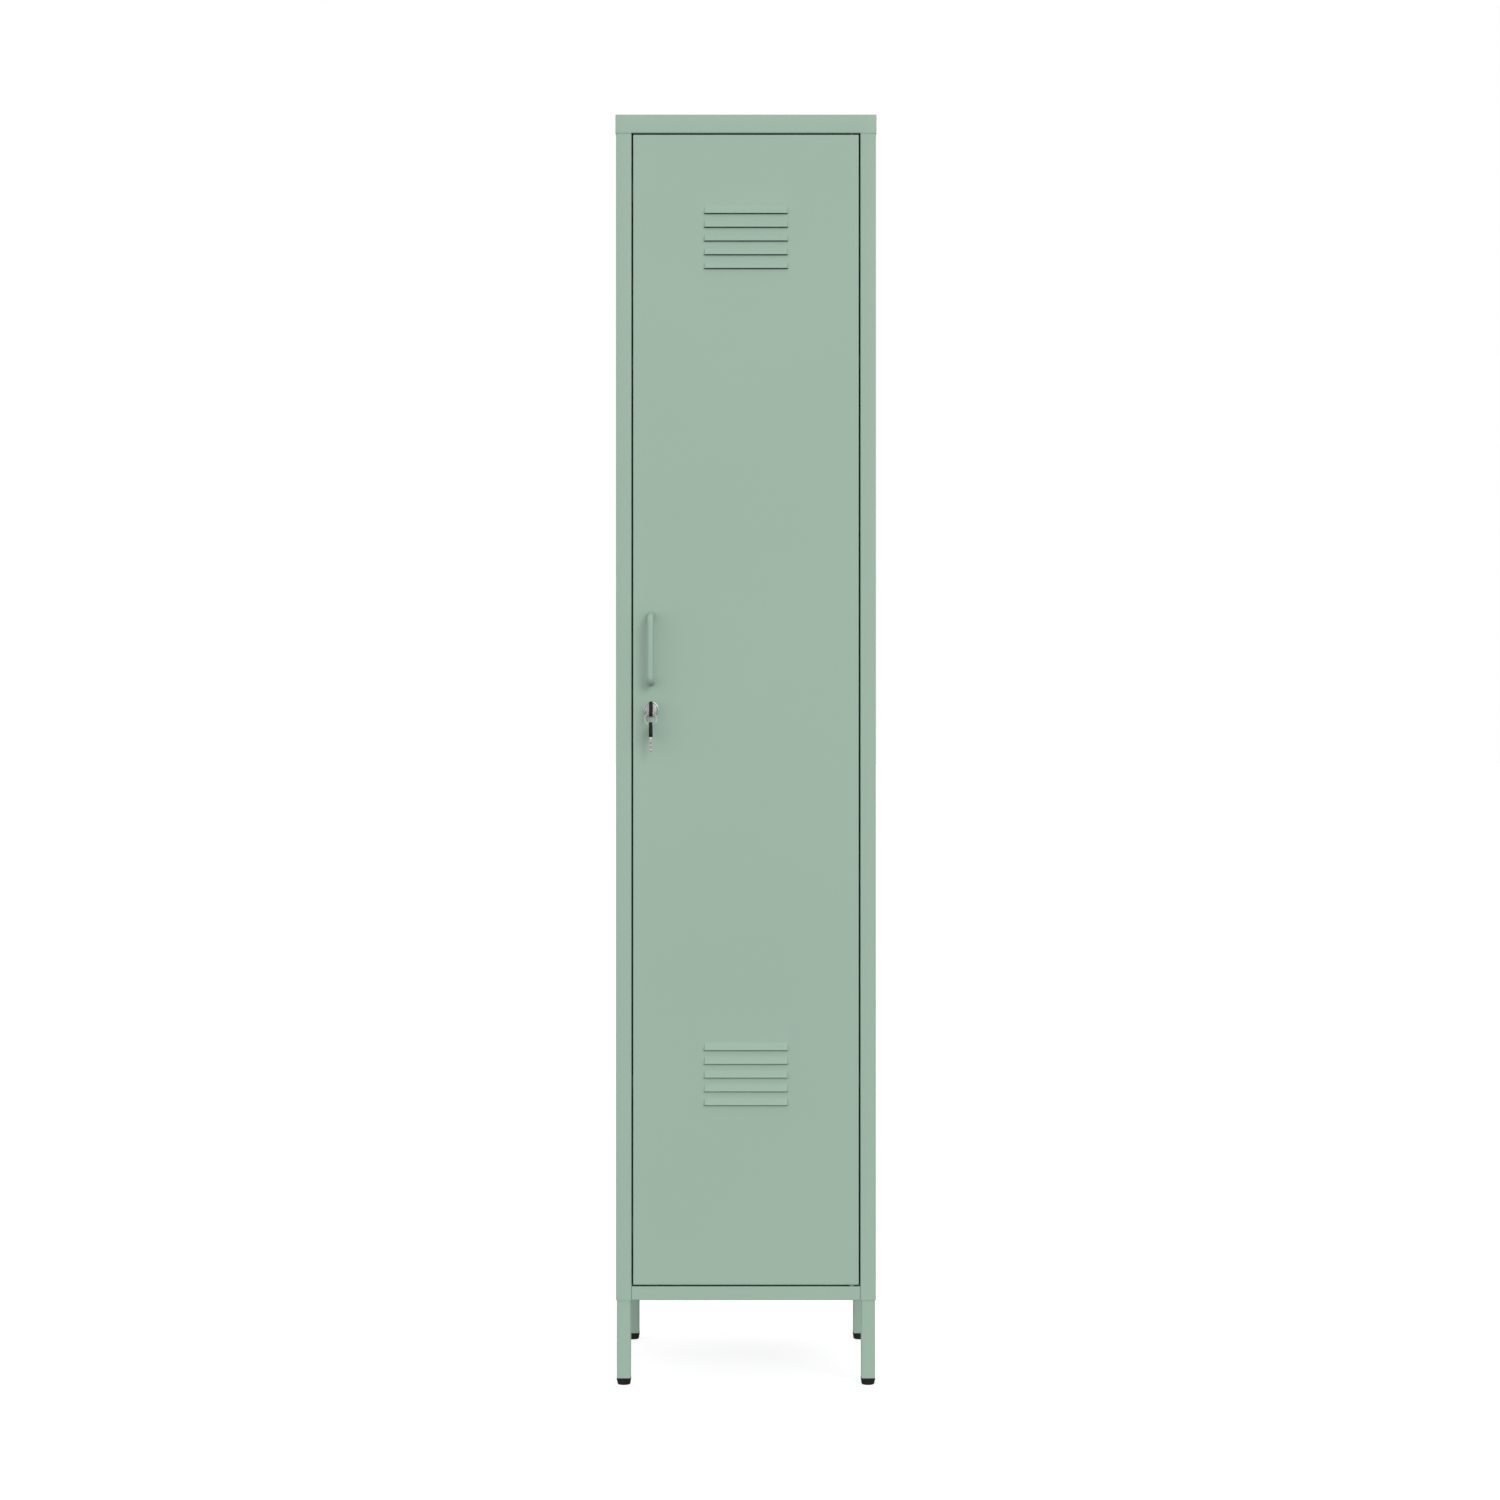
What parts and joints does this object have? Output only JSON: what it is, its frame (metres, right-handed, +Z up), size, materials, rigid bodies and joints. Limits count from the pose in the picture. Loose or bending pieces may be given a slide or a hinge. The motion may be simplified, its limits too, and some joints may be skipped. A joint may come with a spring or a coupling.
{
  "type": "locker cabinet",
  "caption": "Tall narrow steel locker cabinet on legs: one louvred door on pivot pins, a pull handle, a cam lock with keys, shelves and a coat rail inside.",
  "frame": {"origin": "on the floor, in the middle of the space the cabinet takes up, handle, keys and screw heads included", "axes": "+X to the right of a person who faces the door, +Y from the door to the back, +Z up"},
  "size_m": [0.38, 0.4334, 1.85],
  "materials": {
    "green_paint": "fine textured powder coat, satin",
    "plated_zinc": "plated, satin",
    "bright_steel": "bright zinc-plated",
    "black_plastic": "moulded, fine texture",
    "nylon": "natural",
    "grey_rubber": "matt"
  },
  "bodies": {
    "cabinet": {"side_panel_left": "green_paint", "side_panel_right": "green_paint", "back_panel": "green_paint", "top_cap": "green_paint", "bottom_panel": "green_paint", "leg_front_left": "green_paint", "foot_front_left": "black_plastic", "leg_bolt_front_left": "bright_steel", "leg_front_right": "green_paint", "foot_front_right": "black_plastic", "leg_bolt_front_right": "bright_steel", "leg_rear_left": "green_paint", "foot_rear_left": "black_plastic", "leg_bolt_rear_left": "bright_steel", "leg_rear_right": "green_paint", "foot_rear_right": "black_plastic", "leg_bolt_rear_right": "bright_steel", "hat_shelf": "green_paint", "shoe_shelf": "green_paint", "hat_shelf_clip_front_left": "plated_zinc", "hat_shelf_clip_front_right": "plated_zinc", "hat_shelf_clip_rear_left": "plated_zinc", "hat_shelf_clip_rear_right": "plated_zinc", "shoe_shelf_clip_front_left": "plated_zinc", "shoe_shelf_clip_front_right": "plated_zinc", "shoe_shelf_clip_rear_left": "plated_zinc", "shoe_shelf_clip_rear_right": "plated_zinc", "coat_rail": "bright_steel", "rail_socket_left": "plated_zinc", "rail_socket_right": "plated_zinc", "door_stop_lower": "green_paint", "door_stop_upper": "green_paint", "door_bumper_lower": "grey_rubber", "door_bumper_upper": "grey_rubber", "cap_screw_left": "plated_zinc", "cap_screw_right": "plated_zinc", "hinge_pin_lower": "bright_steel", "hinge_washer_lower": "nylon"},
    "door": {"door_panel": "green_paint", "door_stiffener": "green_paint", "hinge_bracket_upper": "plated_zinc", "hinge_bracket_lower": "plated_zinc", "hinge_pin_upper": "bright_steel", "pull_handle": "green_paint", "handle_screw_lower": "bright_steel", "handle_screw_upper": "bright_steel", "lock_housing": "plated_zinc", "lock_nut": "plated_zinc"},
    "lock_barrel": {"lock_plug": "plated_zinc", "lock_cam": "plated_zinc", "cam_screw": "bright_steel"},
    "key": {"key_head": "black_plastic", "key_blade": "bright_steel"},
    "key_ring": {"key_ring": "bright_steel"},
    "spare_key": {"spare_key_head": "black_plastic", "spare_key_blade": "bright_steel"}
  },
  "joints": [
    {"name": "door_hinge", "type": "hinge", "parent": "cabinet", "child": "door", "pos_m": [0.1543, -0.17843, 0.9835], "axis": [0, 0, 1], "range_deg": [0, 120]},
    {"name": "lock_turn", "type": "hinge", "parent": "door", "child": "lock_barrel", "pos_m": [-0.138, -0.18493, 0.9845], "axis": [0, 1, 0], "range_deg": [0, 90]},
    {"name": "key_pull", "type": "slide", "parent": "lock_barrel", "child": "key", "axis": [0, -1, 0], "range_m": [0, 0.022]},
    {"name": "ring_hang", "type": "hinge", "parent": "key", "child": "key_ring", "pos_m": [-0.138, -0.20583, 0.97557], "axis": [0, 1, 0], "range_deg": [-90, 0]},
    {"name": "spare_key_swing", "type": "hinge", "parent": "key_ring", "child": "spare_key", "pos_m": [-0.138, -0.20583, 0.96135], "axis": [-1, 0, 0], "range_deg": [-20, 75]}
  ],
  "couplings": [
    {"joint": "ring_hang", "follows": "lock_turn", "ratio": -1}
  ]
}
